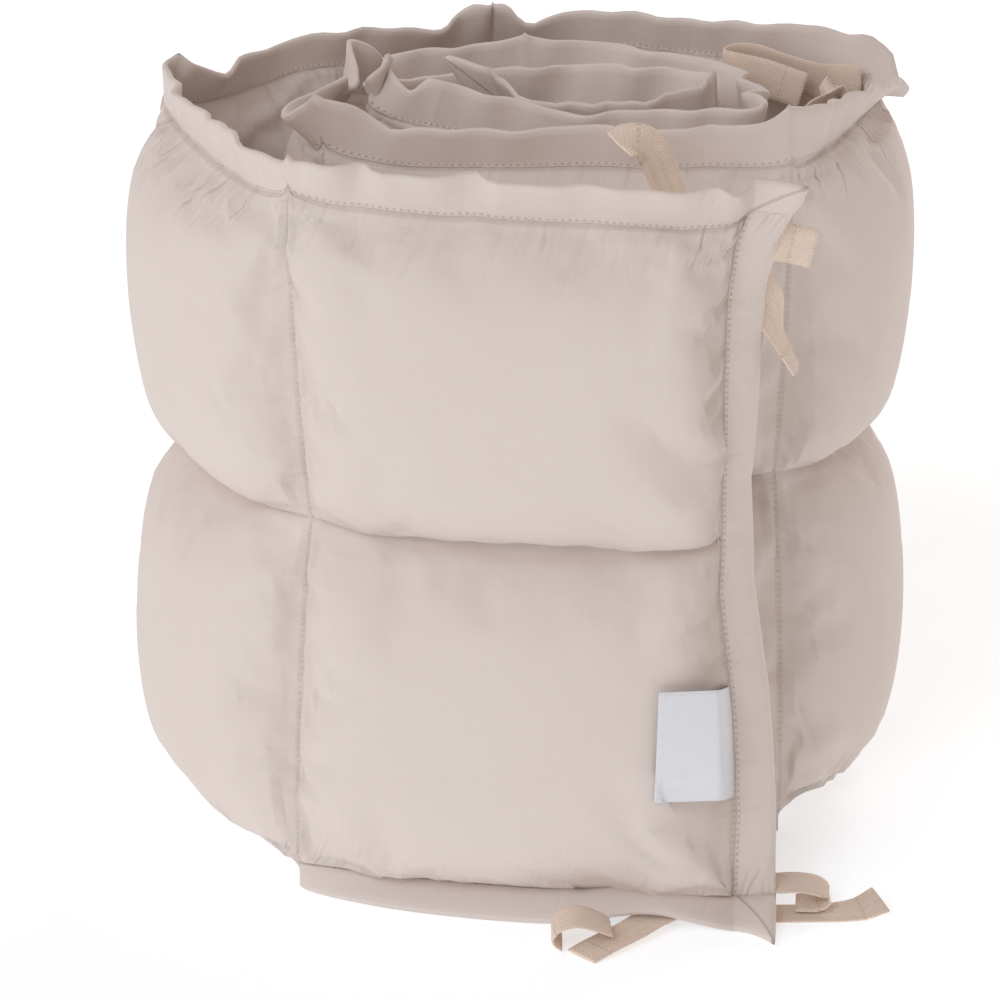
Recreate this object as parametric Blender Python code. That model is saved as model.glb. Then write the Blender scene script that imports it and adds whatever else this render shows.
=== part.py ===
"""A padded crib bumper of quilted cloth, loosely rolled and standing on its long edge.

The strip is one filled solid. Seen from above, its centreline is a row of bowed panels that hinge at
their upright seams, wound clockwise from the free end at the front right to the middle of the roll.
Each panel has two chambers, one above the other, that bulge on both faces and are drawn in at every
seam, and a flat flange runs all round. Tie tapes and a label are sewn to the flange.

The origin is on the floor under the middle of the roll, +Z is up and the free end faces -Y.
Sizes in the tables are millimetres, drawn on one plan; MIDDLE moves it to the origin and MM turns it
into metres.
"""

import math
from collections import namedtuple

import bmesh
import bpy
import numpy as np

MM = 0.001
MIDDLE = np.array((0.91, 21.14, 0.0))  # middle of the finished roll on the plan the tables are drawn on

# the sewn strip
CLOTH = 2.4             # two cloths pressed together, at a seam or in the flange
FLANGE = 16.0           # width of the flat flange outside the rim stitching
FOOT_STITCH = 7.0       # height of the lowest row of stitches above the floor
LOWER_SEAM = 138.0      # height of the lower chamber along an upright seam, where the cloth lies flat
LOWER_MID = 136.0       # its height at the middle of a panel, where it is filled
UPPER_SEAM = 132.0      # the same two heights of the upper chamber
UPPER_MID = 123.0
UPPER_SAG = 9.0         # how far the upper bulge hangs down over the seam below it
LOWER_SAG = 1.0         # how far the lower bulge hangs down
OUTER_FULLNESS = 2.7    # exponent of a chamber's outline on the outer face: higher is boxier
INNER_FULLNESS = 1.8    # and on the inner face, where bent chambers press together
END_PULL = 12.0         # how far the free end is drawn back along the roll at that height

# mesh steps
PANEL_STEPS = 10        # columns across one panel
CHAMBER_STEPS = 7       # rows up one chamber
FLANGE_STEPS = 2        # rows or columns across the flange

# each seam's place and how far the level seam is drawn in there, then the panel that follows it: how far
# it bows out, how thick its outer and inner bulges are, how far its top flange leans out (degrees) and
# how far its foot flange reaches out
Seam = namedtuple("Seam", "x y waist bow outer inner lean foot")
WINDING = (
    Seam(84.0, -90.0, 10.0, 6.0, 25.0, 20.0, -40.0, 17.0),
    Seam(-84.0, -60.0, 11.0, 7.0, 24.0, 14.0, 12.0, -13.0),
    Seam(-139.0, 78.0, 10.0, 9.0, 22.0, 14.0, 8.0, -13.0),
    Seam(-12.0, 162.0, 8.0, 8.0, 22.0, 14.0, 8.0, -13.0),
    Seam(138.0, 100.0, 9.0, 7.0, 22.0, 12.0, 45.0, -13.0),
    Seam(101.0, -12.0, 9.0, 3.0, 22.0, 10.0, 2.0, -7.0),
    Seam(-74.0, 14.0, 4.0, 38.0, 15.0, 10.0, 12.0, -4.0),
    Seam(2.0, 118.0, 3.0, 36.0, 11.0, 10.0, 6.0, -4.0),
    Seam(90.0, 28.0, 2.0, 4.0, 10.0, 8.0, 14.0, 3.0),
    Seam(-58.0, 44.0, 1.0, 32.0, 9.0, 6.0, 10.0, -3.0),
    Seam(76.0, 66.0, 0.0, 12.0, 6.0, 4.0, 24.0, 3.0),
    Seam(-4.0, 56.0, 0.0, 0.0, 0.0, 0.0, 24.0, 3.0),
)
LIFT_HEIGHT = 6.5       # how far the foot flange arches up over the tape at the free end
LIFT_PLACE = 0.20       # where on the first panel it does, as a share of the panel
LIFT_SPREAD = 0.14      # and how widely

# waves of the flange's free edge: how many to a panel, lean in degrees, phase in degrees
Wave = namedtuple("Wave", "count lean phase")
RIM_WAVES = (Wave(2.0, 9.0, 40.0), Wave(3.7, 7.0, 110.0), Wave(5.3, 4.0, 10.0))

# the tie tapes
TAPE_WIDTH = 14.5
TAPE_THICK = 1.2
TAPE_STEP = 4.0         # distance between two stations of a tape
GAP = 0.35              # clearance between a sewn-on piece and the strip

# a tape starts where it is sewn on: panel, share across it, distance past the seam and height, on one
# side of the strip; each step then gives its middle line, measured from there, and its width's direction
Root = namedtuple("Root", "panel share past height side")
Step = namedtuple("Step", "x y z wx wy wz")
Tie = namedtuple("Tie", "name root steps")
TIES = (
    Tie("tie_top_over", Root(0, 0.18, 0.0, 268.0, -1), (
        Step(0, 0.5, -1, 1, 0, 0), Step(0, 5, 6, 1, 0, 0), Step(-1, 10, 12, 1, 0, 0.1),
        Step(-4, 14, 21, 1, -0.2, 0.3), Step(-9, 13, 31, 0.7, -0.7, 0.5), Step(-14, 9, 35, 0.2, -1, 0.5),
        Step(-20, 5, 33, -0.1, -0.8, 0.9), Step(-28, 2, 30, -0.1, -0.6, 1))),
    Tie("tie_top_side", Root(0, 0.0, -9.0, 266.0, -1), (
        Step(-3, 0.3, 1, 0.2, 0, 1), Step(0, 0.3, 0.5, 0.2, 0, 1), Step(4, 1, 0, 0.25, 0, 1),
        Step(9, 3, -1, 0.3, 0, 1), Step(15, 3, -3, 0.35, 0, 1))),
    Tie("tie_top_hang", Root(0, 0.0, -8.0, 246.0, -1), (
        Step(-4, 1.9, 0, 0, 0, 1), Step(-1, 2.7, 0, 0, 0.1, 1), Step(1, 4.5, -3, 0.5, 0.6, 1),
        Step(1, 8.5, -10, 0.8, 1, 0.5), Step(3, 9, -18, 0.5, 1, 0), Step(7, 10, -29, 0.3, 1, 0.1),
        Step(12, 10, -38, 0.2, 1, 0.2), Step(14, 10, -43, 0.2, 1, 0.2))),
    Tie("tie_back_long", Root(3, 0.90, 0.0, 272.0, -1), (
        Step(3, -3.2, 1, 0, 0, 1), Step(-5, -0.4, 1, 0, 0, 1), Step(-16, 2, 1, 0, -0.1, 1),
        Step(-32, 6, 4, 0, -0.2, 1), Step(-46, 9, 7, 0, -0.2, 1), Step(-55, 9, 7, 0, -0.1, 1),
        Step(-60, 5, 6, 0, 0, 1), Step(-55, 1, 5, 0, 0.1, 1), Step(-42, -1, 3, 0, 0.1, 1),
        Step(-24, -6, -1, 0, 0.1, 1))),
    Tie("tie_back_loop", Root(4, 0.10, 0.0, 270.0, -1), (
        Step(-3.3, 3.4, 1.5, 0.3, 1, 0), Step(-6.8, 1.3, 2, 0.4, 1, 0), Step(-10, -3, 2, 0.6, 1, 0),
        Step(-17, -7, -3, 0.8, 1, 0), Step(-22, -11, -13, 0.8, 1, 0), Step(-24, -13, -27, 0.8, 1, 0),
        Step(-24, -13, -43, 0.8, 1, 0))),
)
# these lie on the floor, so their steps are measured from the floor's origin
FLOOR_TIES = (
    Tie("tie_foot_left", None, (
        Step(54, -96, 4.3, -0.68, 0.73, 0), Step(48, -102, 4.2, -0.68, 0.73, 0),
        Step(41, -109, 3.2, -0.68, 0.73, 0), Step(34, -115.5, 2.6, -0.68, 0.73, 0),
        Step(28, -120.7, 1.8, -0.68, 0.73, 0), Step(23, -125.3, 0.9, -0.68, 0.73, 0))),
    Tie("tie_foot_left_loop", None, (
        Step(34, -111.2, 5.9, 0, 1, 0), Step(28, -112, 9, 0, 1, 0.1), Step(21, -112.4, 11, 0, 1, 0.15),
        Step(14.5, -113, 9, 0, 1, 0.15), Step(12.2, -113, 5.2, 0, 1, 0.1), Step(13.5, -113, 2, 0, 1, 0),
        Step(15.5, -113, 0.8, 0, 1, 0))),
    Tie("tie_foot_right", None, (
        Step(91, -88.9, 0.75, 0, 1, 0), Step(100, -88.9, 0.75, 0, 1, 0), Step(112, -88.4, 0.75, -0.1, 1, 0),
        Step(122, -88.4, 1.4, -0.2, 1, 0.05), Step(130, -87.6, 2.6, -0.3, 1, 0.15),
        Step(137, -85.2, 5, -0.35, 1, 0.3))),
    Tie("tie_foot_right_loop", None, (
        Step(91, -81, 9.3, 0, 1, 0.05), Step(99, -81, 9.8, 0, 1, 0.1), Step(107, -81, 10, 0, 1, 0.1),
        Step(114, -82, 8.6, 0, 1, 0.12), Step(117, -83, 5.6, 0, 1, 0.1), Step(113, -83.5, 3.1, 0, 1, 0.05),
        Step(105, -83, 2.5, 0, 1, 0))),
)

# the label
LABEL_WIDTH = 30.0
LABEL_HEIGHT = 42.0
LABEL_FOOT = 57.0       # height of its lower edge
LABEL_THICK = 1.0
LABEL_INSET = 2.0       # how far its side edge lies in from the free end's stitching
LABEL_GAP = 1.2         # clearance to the bulge it lies on
LABEL_STEPS = 8

# colours, linear
CLOTH_COLOUR = (0.72, 0.65, 0.60, 1.0)
TAPE_COLOUR = (0.76, 0.63, 0.50, 1.0)
LABEL_COLOUR = (0.82, 0.83, 0.86, 1.0)


def material(name, colour, roughness):
    """Give the Principled material of that name, made once."""
    made = bpy.data.materials.get(name)
    if made is None:
        made = bpy.data.materials.new(name)
        made.use_nodes = True
        shader = made.node_tree.nodes["Principled BSDF"]
        shader.inputs["Base Color"].default_value = colour
        shader.inputs["Roughness"].default_value = roughness
        shader.inputs["Metallic"].default_value = 0.0
    return made


def unit(vector):
    """Scale a vector to length one."""
    vector = np.asarray(vector, dtype=float)
    return vector / np.linalg.norm(vector)


def eased(steps):
    """Give steps + 1 shares from 0 to 1 that crowd towards both ends, where a bulge is steep."""
    even = np.linspace(0.0, 1.0, steps + 1)
    crowded = 0.5 - 0.5 * np.cos(math.pi * even)
    return 0.35 * even + 0.65 * crowded


def bulge(share, fullness=OUTER_FULLNESS):
    """Height of a filled chamber's outline, 0 at its seams and 1 halfway."""
    return math.sqrt(max(0.0, 1.0 - abs(2.0 * share - 1.0) ** fullness))


def panel_arc(panel):
    """Give a panel's arc in plan: centre, radius, half angle, and its chord's direction and outward normal."""
    start, end = WINDING[panel], WINDING[panel + 1]
    a = np.array((start.x, start.y))
    b = np.array((end.x, end.y))
    along = unit(b - a)
    out = np.array((-along[1], along[0]))
    half = 0.5 * np.linalg.norm(b - a)
    radius = (half * half + start.bow * start.bow) / (2.0 * start.bow)
    centre = 0.5 * (a + b) + out * (start.bow - radius)
    return centre, radius, math.asin(min(1.0, half / radius)), along, out


def outward(panel, share):
    """Give the outward normal in plan at a share of the way across a panel."""
    _, _, swing, along, out = panel_arc(panel)
    angle = swing * (2.0 * share - 1.0)
    return math.cos(angle) * out + math.sin(angle) * along


def seam_normal(seam):
    """Give the outward normal in plan at a seam, halfway between those of the panels it joins."""
    last = len(WINDING) - 1
    before = outward(max(seam - 1, 0), 0.0 if seam == 0 else 1.0)
    after = outward(min(seam, last - 1), 1.0 if seam == last else 0.0)
    return unit(before + after)


class Column:
    """One upright line of the strip: its place in plan and how it bulges there."""

    def __init__(self, panel, share, past=0.0):
        """Place the column.

        panel is the panel's number, share its place across the panel from 0 to 1, and past how far
        it lies beyond the strip's first seam (negative) or last seam (positive), in the end flange.
        """
        start, end = WINDING[panel], WINDING[panel + 1]
        centre, radius = panel_arc(panel)[:2]
        self.normal = outward(panel, share)
        heading = np.array((self.normal[1], -self.normal[0]))
        self.place = centre + radius * self.normal + past * heading
        if share == 0.0:
            self.normal = seam_normal(panel)
        self.panel = panel
        self.share = share
        self.outer = 0.0 if past else start.outer * bulge(share)
        self.inner = 0.0 if past else start.inner * bulge(share, INNER_FULLNESS)
        self.lower = LOWER_SEAM + (LOWER_MID - LOWER_SEAM) * bulge(share)
        self.upper = UPPER_SEAM + (UPPER_MID - UPPER_SEAM) * bulge(share)
        drawn_start = seam_normal(panel) * -start.waist
        drawn_end = seam_normal(panel + 1) * -end.waist
        self.drawn = drawn_start + (drawn_end - drawn_start) * share
        self.lean = start.lean * math.sin(math.pi * share)
        at_end = panel == 0 and share < 0.5
        self.spread = math.copysign(1.0 if at_end else bulge(share), start.foot)
        self.foot = abs(start.foot) * self.spread
        self.lift = 0.0
        if panel == 0:
            self.lift = LIFT_HEIGHT * math.exp(-(((share - LIFT_PLACE) / LIFT_SPREAD) ** 2))
        if panel == 0:
            self.drawn = self.drawn + heading * END_PULL * max(0.0, 1.0 - 3.0 * share) ** 2

    def wave(self):
        """Lean that the flange's waves add here, in degrees."""
        turns = self.panel + self.share
        total = 0.0
        for wave in RIM_WAVES:
            total += wave.lean * math.sin(2.0 * math.pi * wave.count * turns + math.radians(wave.phase))
        return total

    def point(self, row, side):
        """Place of the cloth's face on one side (+1 outer, -1 inner), in millimetres."""
        shift, height, tilt, fill, sag = row.lie(self)
        swell = (self.outer if side > 0 else self.inner) * fill
        level = min(height, 2.0 * (FOOT_STITCH + self.lower) - height)
        drawn = max(0.0, level / (FOOT_STITCH + self.lower)) ** 2
        reach = shift + side * (0.5 * CLOTH * math.cos(tilt) + swell)
        drop = side * 0.5 * CLOTH * math.sin(tilt) + sag * fill * (swell / 25.0)
        plan = self.place + self.normal * reach + self.drawn * drawn
        return np.array((plan[0], plan[1], height - drop))


class FootRow:
    """A row of the flange that lies on the floor."""

    def __init__(self, share):
        """share runs from 0 at the free edge towards 1 at the stitching."""
        self.share = share

    def lie(self, column):
        """Give the row's shift outwards, height, tilt of the cloth, fill and sag at a column."""
        tilt = -0.5 * math.pi * column.spread
        hang = FOOT_STITCH * self.share * (1.0 - abs(column.spread))
        height = 0.5 * CLOTH * abs(math.sin(tilt)) + hang + column.lift
        return column.foot * (1.0 - self.share), height, tilt, 0.0, 0.0


class ChamberRow:
    """A row of the lower or the upper chamber."""

    def __init__(self, upper, share):
        """upper tells which chamber, share is the row's height in it from 0 to 1."""
        self.upper = upper
        self.share = share

    def lie(self, column):
        """Give the row's shift outwards, height, tilt of the cloth, fill and sag at a column."""
        if self.upper:
            height = FOOT_STITCH + column.lower + column.upper * self.share
            return 0.0, height, 0.0, bulge(self.share), UPPER_SAG
        return 0.0, FOOT_STITCH + column.lower * self.share, 0.0, bulge(self.share), LOWER_SAG


class TopRow:
    """A row of the flange that stands above the upper chamber."""

    def __init__(self, share):
        """share runs from 0 at the stitching to 1 at the free edge."""
        self.share = share

    def lie(self, column):
        """Give the row's shift outwards, height, tilt of the cloth, fill and sag at a column."""
        lean = math.radians(column.lean + column.wave())
        height = FOOT_STITCH + column.lower + column.upper + FLANGE * self.share * math.cos(lean)
        return FLANGE * self.share * math.sin(lean), height, lean * self.share, 0.0, 0.0


def strip_columns():
    """List the strip's columns from the free end to the middle of the roll."""
    last = len(WINDING) - 2
    columns = [Column(0, 0.0, -FLANGE * (1.0 - i / FLANGE_STEPS)) for i in range(FLANGE_STEPS)]
    for panel in range(last + 1):
        columns += [Column(panel, share) for share in eased(PANEL_STEPS)[:-1]]
    columns += [Column(last, 1.0, FLANGE * i / FLANGE_STEPS) for i in range(FLANGE_STEPS + 1)]
    return columns


def strip_rows():
    """List the strip's rows from the floor up."""
    rows = [FootRow(i / FLANGE_STEPS) for i in range(FLANGE_STEPS)]
    for upper in (False, True):
        rows += [ChamberRow(upper, share) for share in eased(CHAMBER_STEPS)[:-1]]
    rows += [TopRow(i / FLANGE_STEPS) for i in range(FLANGE_STEPS + 1)]
    return rows


def closed_sheet(name, face_point, columns, rows, finish):
    """Make a closed solid from two grids of points, one for each face, and a band round their edge.

    face_point gives the point at a column, a row and a side, in millimetres.
    """
    mesh = bmesh.new()
    grids = {}
    for side in (1, -1):
        grids[side] = [[mesh.verts.new((face_point(c, r, side) - MIDDLE) * MM) for r in rows]
                       for c in columns]
    wide, high = len(columns) - 1, len(rows) - 1
    for side, grid in grids.items():
        for i in range(wide):
            for j in range(high):
                quad = [grid[i][j], grid[i][j + 1], grid[i + 1][j + 1], grid[i + 1][j]]
                mesh.faces.new(quad if side > 0 else quad[::-1])
    edge = [(i, 0) for i in range(wide)] + [(wide, j) for j in range(high)]
    edge += [(i, high) for i in range(wide, 0, -1)] + [(0, j) for j in range(high, 0, -1)]
    for (i, j), (k, m) in zip(edge, edge[1:] + edge[:1]):
        mesh.faces.new((grids[1][i][j], grids[1][k][m], grids[-1][k][m], grids[-1][i][j]))
    bmesh.ops.triangulate(mesh, faces=mesh.faces)
    bmesh.ops.recalc_face_normals(mesh, faces=mesh.faces)
    data = bpy.data.meshes.new(name)
    mesh.to_mesh(data)
    mesh.free()
    data.materials.append(finish)
    data.shade_smooth()
    made = bpy.data.objects.new(name, data)
    bpy.context.collection.objects.link(made)
    return made


def strip_face(panel, share, past, height, side):
    """Point on the strip's face at a height in millimetres, with the plan direction out of that face."""
    column = Column(panel, share, past)
    points = [column.point(row, side) for row in strip_rows()]
    heights = [point[2] for point in points]
    order = np.argsort(heights)
    at = [np.interp(height, np.array(heights)[order], np.array(points)[order, k]) for k in (0, 1)]
    return np.array((at[0], at[1], height)), np.array((*(side * column.normal), 0.0))


def smooth_route(points):
    """Read evenly spaced stations from a smooth curve through a table of points, all columns alike."""
    rows = np.array(points, dtype=float)
    ends = (2.0 * rows[0] - rows[1], 2.0 * rows[-1] - rows[-2])
    padded = np.vstack((ends[0], rows, ends[1]))
    fine = []
    for i in range(len(rows) - 1):
        a, b, c, d = padded[i:i + 4]
        for t in np.linspace(0.0, 1.0, 24, endpoint=False):
            near = b + 0.5 * t * (c - a)
            bend = t * t * (a - 2.5 * b + 2.0 * c - 0.5 * d)
            turn = t ** 3 * 0.5 * (3.0 * b - a - 3.0 * c + d)
            fine.append(near + bend + turn)
    fine = np.array(fine + [rows[-1]])
    spans = np.linalg.norm(np.diff(fine[:, :3], axis=0), axis=1)
    run = np.concatenate(((0.0,), np.cumsum(spans)))
    count = max(3, round(run[-1] / TAPE_STEP))
    marks = np.linspace(0.0, run[-1], count + 1)
    return np.array([[np.interp(mark, run, fine[:, k]) for k in range(fine.shape[1])] for mark in marks])


def make_tape(tie):
    """Build one tie tape along its steps."""
    shift = np.zeros(3)
    if tie.root:
        face, out = strip_face(*tie.root)
        shift = face + out * (0.5 * TAPE_THICK + GAP)
    route = smooth_route(tie.steps)
    middle = route[:, :3] + shift
    heading = np.gradient(middle, axis=0)
    frames = []
    for place, ahead, across in zip(middle, heading, route[:, 3:]):
        ahead = unit(ahead)
        across = unit(across - ahead * np.dot(across, ahead))
        frames.append((place, across, np.cross(ahead, across)))

    def face_point(frame, row, side):
        place, across, thick = frame
        return place + across * TAPE_WIDTH * row - thick * 0.5 * TAPE_THICK * side

    closed_sheet(tie.name, face_point, frames, (-0.5, 0.0, 0.5), material("twill", TAPE_COLOUR, 0.8))


def make_label():
    """Build the bare label, sewn in at the free end's stitching and lying on the lower chamber."""
    panel = math.hypot(WINDING[1].x - WINDING[0].x, WINDING[1].y - WINDING[0].y)
    shares = np.linspace(LABEL_INSET / panel, (LABEL_INSET + LABEL_WIDTH) / panel, LABEL_STEPS + 1)
    heights = np.linspace(LABEL_FOOT, LABEL_FOOT + LABEL_HEIGHT, 3)

    def face_point(share, height, side):
        face, out = strip_face(0, share, 0.0, height, 1)
        return face + out * (LABEL_GAP + LABEL_THICK * (0.5 + 0.5 * side))

    closed_sheet("label", face_point, shares, heights, material("satin", LABEL_COLOUR, 0.6))


def make_strip():
    """Build the padded strip."""
    finish = material("cotton", CLOTH_COLOUR, 0.85)
    closed_sheet("padded_strip", Column.point, strip_columns(), strip_rows(), finish)


def main():
    """Clear the file and build every piece."""
    for old in list(bpy.data.objects):
        bpy.data.objects.remove(old, do_unlink=True)
    make_strip()
    make_label()
    for tie in TIES + FLOOR_TIES:
        make_tape(tie)


main()
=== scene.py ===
"""Looks of the rolled crib bumper: quilted cotton strip, tie tapes and bare label, on a pale floor.

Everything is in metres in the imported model's own frame. The strip's plan is drawn on a table of seams in
millimetres, as a maker would note it, and MIDDLE moves that plan to the frame's origin.
"""

import logging
import math
from dataclasses import dataclass, field
from enum import Enum
from typing import Any, Optional, Sequence

import bmesh
import bpy
import numpy as np
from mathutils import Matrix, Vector
from mathutils.bvhtree import BVHTree

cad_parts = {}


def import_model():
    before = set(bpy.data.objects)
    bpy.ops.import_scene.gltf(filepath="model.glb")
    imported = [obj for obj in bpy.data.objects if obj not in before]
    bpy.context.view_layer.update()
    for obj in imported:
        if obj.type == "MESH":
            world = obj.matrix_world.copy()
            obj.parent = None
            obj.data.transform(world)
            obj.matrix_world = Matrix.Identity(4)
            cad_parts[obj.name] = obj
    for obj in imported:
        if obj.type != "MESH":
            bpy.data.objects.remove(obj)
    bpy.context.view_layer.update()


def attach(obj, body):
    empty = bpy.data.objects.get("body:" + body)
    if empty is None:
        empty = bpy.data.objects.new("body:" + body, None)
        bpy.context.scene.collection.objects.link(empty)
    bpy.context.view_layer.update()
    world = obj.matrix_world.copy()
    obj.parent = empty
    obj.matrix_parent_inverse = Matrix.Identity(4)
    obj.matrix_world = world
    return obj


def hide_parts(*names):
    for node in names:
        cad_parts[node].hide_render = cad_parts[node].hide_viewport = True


LOG = logging.getLogger("crib_bumper")
MM = 0.001
MIDDLE = np.array((0.91, 21.14, 0.0))
ROOT = "root"


# ---------------------------------------------------------------- options


class Side(Enum):
    """A face of the cloth strip: the one that shows outside a turn, or the one inside it."""

    OUTER = 1
    INNER = -1


class Zone(Enum):
    """The bands of the strip from the floor up."""

    FOOT = "foot flange"
    LOWER = "lower chambers"
    UPPER = "upper chambers"
    TOP = "top flange"


class Hold(Enum):
    """How a tape's free tail is held, in the words that the frame takes."""

    HUNG = "hung"
    LAID = "laid"
    FOLDED = "folded"


# ---------------------------------------------------------------- shader maths


class Wire:
    """A number socket of a node tree that takes part in Python sums."""

    def __init__(self, bench: "Bench", socket: bpy.types.NodeSocket) -> None:
        """Wrap a socket.

        Args:
            bench: the material being wired.
            socket: an output socket that carries a number.
        """
        self.bench = bench
        self.socket = socket

    def _maths(self, operation: str, *values: Any) -> "Wire":
        """Add one Math node.

        Args:
            operation: the node's operation.
            values: its inputs in order, each a Wire or a number.

        Returns:
            The node's result.
        """
        made = self.bench.node("ShaderNodeMath", {"operation": operation}, dict(enumerate(values)))
        return Wire(self.bench, made.outputs[0])

    def __add__(self, other: Any) -> "Wire":
        """Give the sum."""
        return self._maths("ADD", self, other)

    __radd__ = __add__

    def __sub__(self, other: Any) -> "Wire":
        """Give the difference."""
        return self._maths("SUBTRACT", self, other)

    def __rsub__(self, other: Any) -> "Wire":
        """Give the difference from a number."""
        return self._maths("SUBTRACT", other, self)

    def __mul__(self, other: Any) -> "Wire":
        """Give the product."""
        return self._maths("MULTIPLY", self, other)

    __rmul__ = __mul__

    def __truediv__(self, other: Any) -> "Wire":
        """Give the quotient."""
        return self._maths("DIVIDE", self, other)

    def part(self) -> "Wire":
        """Give what is left after the last whole number."""
        return self._maths("FRACT", self)

    def size(self) -> "Wire":
        """Give the number without its sign."""
        return self._maths("ABSOLUTE", self)

    def most(self, other: Any) -> "Wire":
        """Give the larger of the two."""
        return self._maths("MAXIMUM", self, other)

    def sine(self) -> "Wire":
        """Give the sine of an angle in radians."""
        return self._maths("SINE", self)

    def fade(self, near: float, far: float) -> "Wire":
        """Give 1 up to near and 0 from far on, with a smooth slope between.

        Args:
            near: where the slope starts.
            far: where it ends.

        Returns:
            The share as a Wire.
        """
        settings = {"interpolation_type": "SMOOTHSTEP", "clamp": True}
        made = self.bench.node("ShaderNodeMapRange", settings, {0: self, 1: near, 2: far, 3: 1.0, 4: 0.0})
        return Wire(self.bench, made.outputs[0])


class Bench:
    """A material under construction, with one method for every kind of node."""

    def __init__(self, name: str) -> None:
        """Start an empty Principled material.

        Args:
            name: the material's name.
        """
        self.material = bpy.data.materials.new(name)
        self.material.use_nodes = True
        self.tree = self.material.node_tree
        self.shader = self.tree.nodes["Principled BSDF"]

    def node(self, kind: str, settings: dict[str, Any], sockets: dict[Any, Any]) -> bpy.types.Node:
        """Add a node.

        Args:
            kind: the node's type.
            settings: attributes, set first; a key ramp_stops holds a ramp's (position, colour) pairs.
            sockets: a value, a Wire or an output socket for each input, by name or number.

        Returns:
            The new node.
        """
        made = self.tree.nodes.new(kind)
        for key, value in settings.items():
            if key == "ramp_stops":
                for stop, (at, colour) in zip(made.color_ramp.elements, value):
                    stop.position = at
                    stop.color = colour
            else:
                setattr(made, key, value)
        for key, value in sockets.items():
            self.feed(made.inputs[key], value)
        return made

    def surface(self, **looks: float) -> None:
        """Set constants of the shader, each named as its socket in lower case with _ for a space."""
        names = {socket.name.lower().replace(" ", "_"): socket for socket in self.shader.inputs}
        for key, value in looks.items():
            names[key].default_value = value

    def feed(self, socket: bpy.types.NodeSocket, value: Any) -> None:
        """Set a socket to a value, or link a Wire or another socket to it."""
        if isinstance(value, Wire):
            self.tree.links.new(value.socket, socket)
        elif isinstance(value, bpy.types.NodeSocket):
            self.tree.links.new(value, socket)
        else:
            socket.default_value = value

    def wire(self, made: bpy.types.Node, output: Any = 0) -> Wire:
        """Wrap one output of a node."""
        return Wire(self, made.outputs[output])

    def cloth_place(self) -> tuple[Wire, Wire, Wire]:
        """Read where a point lies on the flat cloth.

        Returns:
            Its distance along the cloth, its distance up or across it, and a third mark of the piece.
        """
        read = self.node("ShaderNodeAttribute", {"attribute_name": "cloth"}, {})
        split = self.node("ShaderNodeSeparateXYZ", {}, {0: read.outputs["Vector"]})
        return self.wire(split, 0), self.wire(split, 1), self.wire(split, 2)

    def noise(self, x: Any, y: Any, z: Any, detail: float = 2.0, rough: float = 0.5) -> Wire:
        """Add a noise read at a point whose scale is already in its numbers.

        Args:
            x: first coordinate.
            y: second coordinate.
            z: third coordinate.
            detail: octaves of the noise.
            rough: how strong the finer octaves are.

        Returns:
            The noise, about 0.5 on average.
        """
        at = self.node("ShaderNodeCombineXYZ", {}, {0: x, 1: y, 2: z})
        sockets = {"Vector": at.outputs[0], "Scale": 1.0, "Detail": detail, "Roughness": rough}
        return self.wire(self.node("ShaderNodeTexNoise", {}, sockets))

    def tint(self, share: Wire, low: Sequence[float], high: Sequence[float]) -> bpy.types.NodeSocket:
        """Mix two colours.

        Args:
            share: 0 for the first, 1 for the second.
            low: the first colour.
            high: the second colour.

        Returns:
            The mixed colour's socket.
        """
        made = self.node("ShaderNodeMix", {"data_type": "RGBA"}, {0: share, 6: (*low, 1.0), 7: (*high, 1.0)})
        return made.outputs[2]

    def blend(self, share: Wire, base: bpy.types.NodeSocket, over: Sequence[float]) -> bpy.types.NodeSocket:
        """Lay a colour over another by a share."""
        made = self.node("ShaderNodeMix", {"data_type": "RGBA"}, {0: share, 6: base, 7: (*over, 1.0)})
        return made.outputs[2]

    def relief(
        self, height: Wire, depth: float, strength: float = 1.0, under: Any = None
    ) -> bpy.types.NodeSocket:
        """Turn a height into a surface normal.

        Args:
            height: 0 to 1.
            depth: how far apart 0 and 1 are, in metres.
            strength: share of the effect.
            under: a normal's socket that it is laid over.

        Returns:
            The normal's socket.
        """
        sockets = {"Height": height, "Distance": depth, "Strength": strength}
        if under is not None:
            sockets["Normal"] = under
        return self.node("ShaderNodeBump", {}, sockets).outputs["Normal"]


# ---------------------------------------------------------------- finishes


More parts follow.
